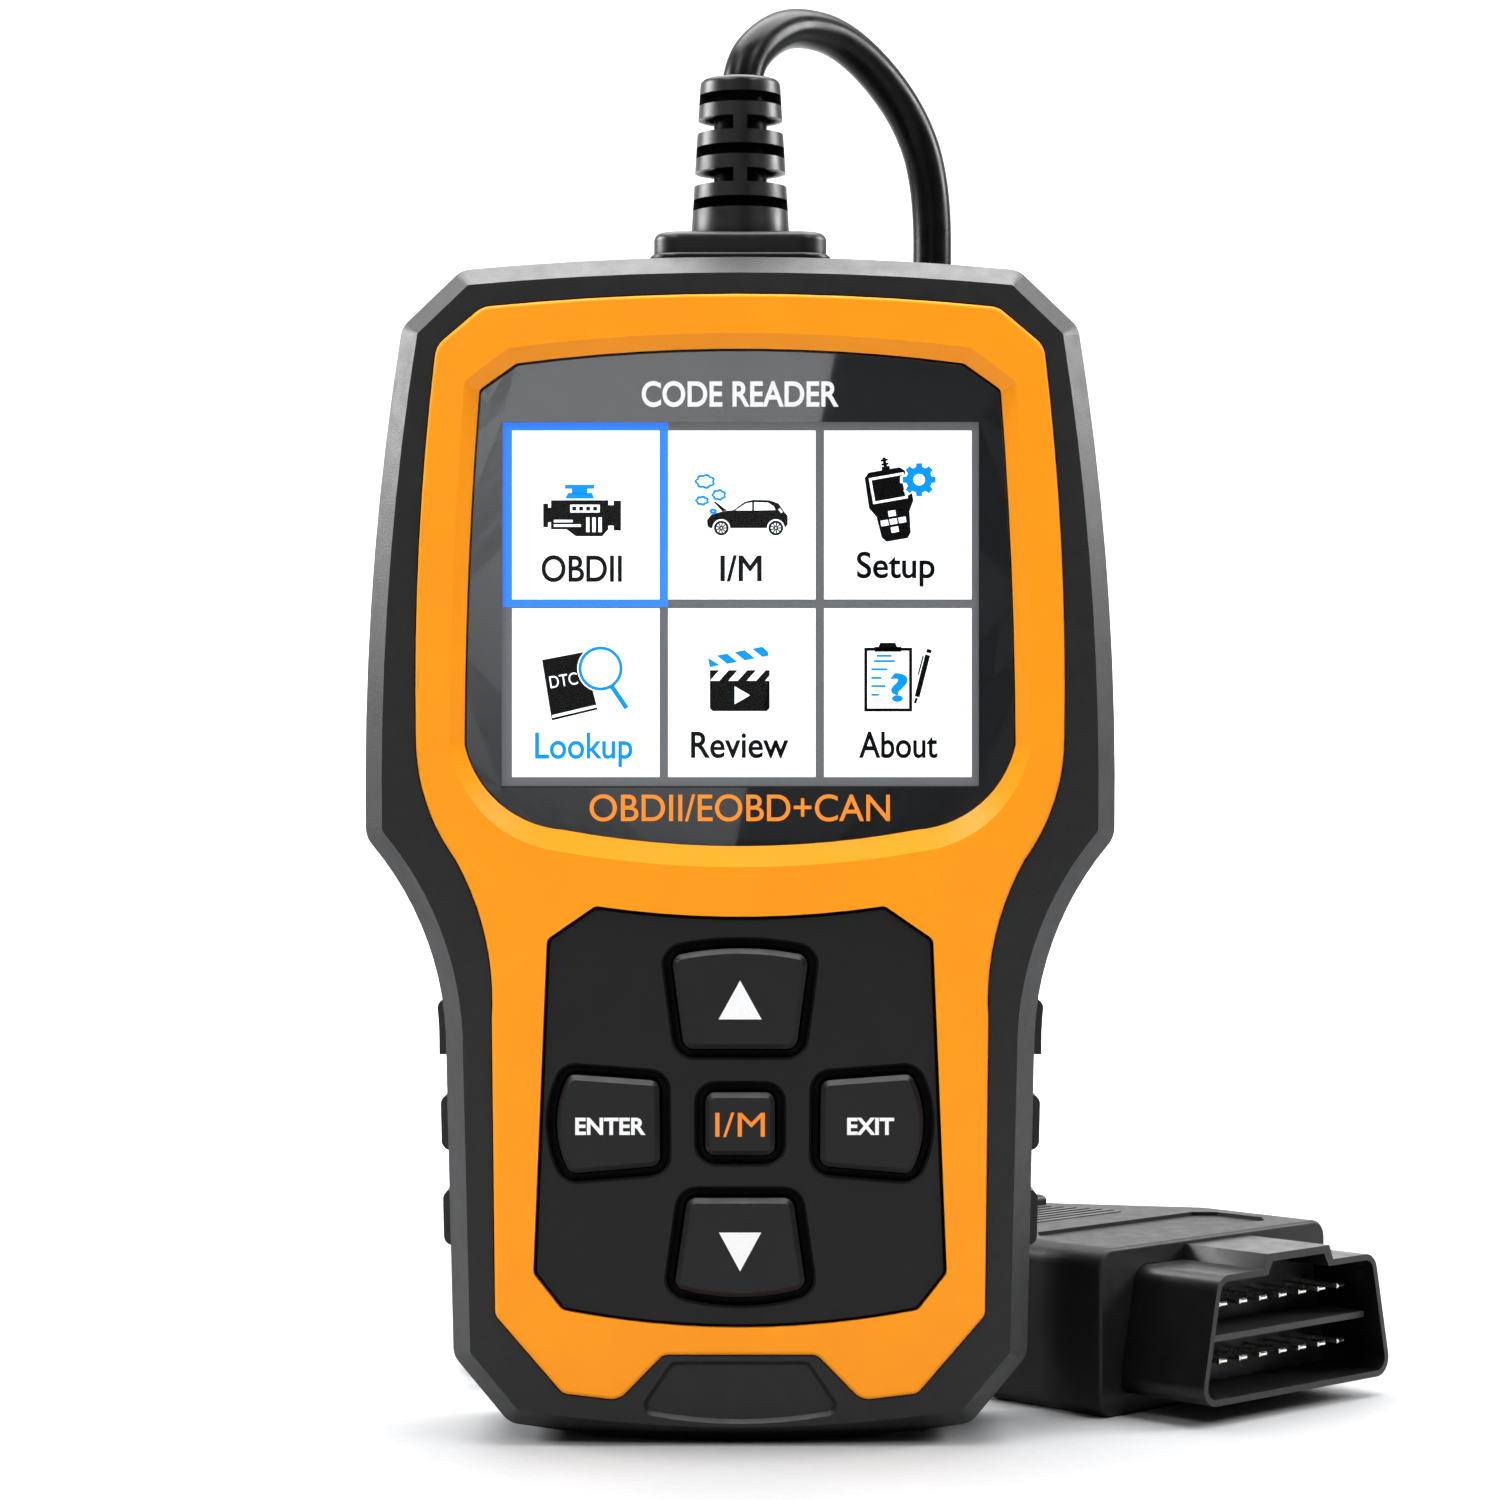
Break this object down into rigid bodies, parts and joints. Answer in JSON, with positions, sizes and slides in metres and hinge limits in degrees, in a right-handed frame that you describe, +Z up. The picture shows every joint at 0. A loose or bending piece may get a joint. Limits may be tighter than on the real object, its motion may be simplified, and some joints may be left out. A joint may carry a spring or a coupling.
{
  "type": "obd code reader",
  "caption": "Handheld vehicle diagnostic code reader: black case with an orange bezel, colour screen, press keys, slotted cable boot, lead with coil and a diagnostic plug.",
  "frame": {"origin": "centre of the case in plan, at the lowest point of its curved bottom edge, with the lead and plug left out", "axes": "+Z up along the case towards the cable boot, -Y out of the face with the screen and keys, +X to the right as seen from the front"},
  "size_m": [0.1306, 0.0917, 0.1785],
  "materials": {
    "case_black": "fine spark-eroded grain, satin",
    "bezel_orange": "satin orange, very fine grain",
    "lens_glass": "clear, polished",
    "lens_print": "black print",
    "screen_glass": "display stack",
    "white_plastic": "natural white moulding",
    "amber_film": "polyimide film",
    "socket_plastic": "black moulding",
    "keypad_black": "smooth satin black",
    "key_rubber": "soft-touch black",
    "plunger_plastic": "ivory moulding",
    "board_green": "green solder mask",
    "chip_epoxy": "moulded epoxy",
    "can_metal": "drawn steel can",
    "wire_sheath": "wire insulation",
    "screw_steel": "blackened steel",
    "grip_rubber": "matt rubber",
    "label_film": "blank silver film label",
    "boot_rubber": "satin flexible vinyl",
    "cord_sheath": "satin vinyl sheath",
    "tie_band": "black wire tie",
    "plug_black": "fine grain satin",
    "plug_insert_black": "black insulator",
    "pin_nickel": "nickel-plated blades"
  },
  "bodies": {
    "case": {"back_label": "label_film", "beeper": "socket_plastic", "bezel": "bezel_orange", "board_screws": "screw_steel", "cable_boot": "boot_rubber", "case_screws": "screw_steel", "coil_tie": "tie_band", "cord_coil": "cord_sheath", "cord_lead": "cord_sheath", "cord_tail": "cord_sheath", "crystal": "can_metal", "front_cover": "case_black", "keypad_plate": "keypad_black", "lead_socket": "white_plastic", "lead_wires": "wire_sheath", "lens_mask": "lens_print", "main_board": "board_green", "plug_boot": "boot_rubber", "plug_bottom": "plug_black", "plug_grip": "grip_rubber", "plug_insert": "plug_insert_black", "plug_nose": "plug_black", "plug_pins": "pin_nickel", "plug_screws": "screw_steel", "plug_top": "plug_black", "processor_chip": "chip_epoxy", "rear_cover": "case_black", "ribbon_socket": "socket_plastic", "screen_frame": "white_plastic", "screen_lens": "lens_glass", "screen_panel": "screen_glass", "screen_ribbon": "amber_film", "side_grip_left": "grip_rubber", "side_grip_right": "grip_rubber", "small_chips": "chip_epoxy", "tact_switches": "socket_plastic"},
    "key_up": {"key_up": "key_rubber", "plunger_up": "plunger_plastic"},
    "key_down": {"key_down": "key_rubber", "plunger_down": "plunger_plastic"},
    "key_enter": {"key_enter": "key_rubber", "plunger_enter": "plunger_plastic"},
    "key_exit": {"key_exit": "key_rubber", "plunger_exit": "plunger_plastic"},
    "key_middle": {"key_middle": "key_rubber", "plunger_middle": "plunger_plastic"}
  },
  "joints": [
    {"name": "press_up", "type": "slide", "parent": "case", "child": "key_up", "axis": [0, 1, 0], "range_m": [0, 0.0007], "stiffness_N_per_m": 900},
    {"name": "press_down", "type": "slide", "parent": "case", "child": "key_down", "axis": [0, 1, 0], "range_m": [0, 0.0007], "stiffness_N_per_m": 900},
    {"name": "press_enter", "type": "slide", "parent": "case", "child": "key_enter", "axis": [0, 1, 0], "range_m": [0, 0.0007], "stiffness_N_per_m": 900},
    {"name": "press_exit", "type": "slide", "parent": "case", "child": "key_exit", "axis": [0, 1, 0], "range_m": [0, 0.0007], "stiffness_N_per_m": 900},
    {"name": "press_middle", "type": "slide", "parent": "case", "child": "key_middle", "axis": [0, 1, 0], "range_m": [0, 0.0007], "stiffness_N_per_m": 900}
  ]
}
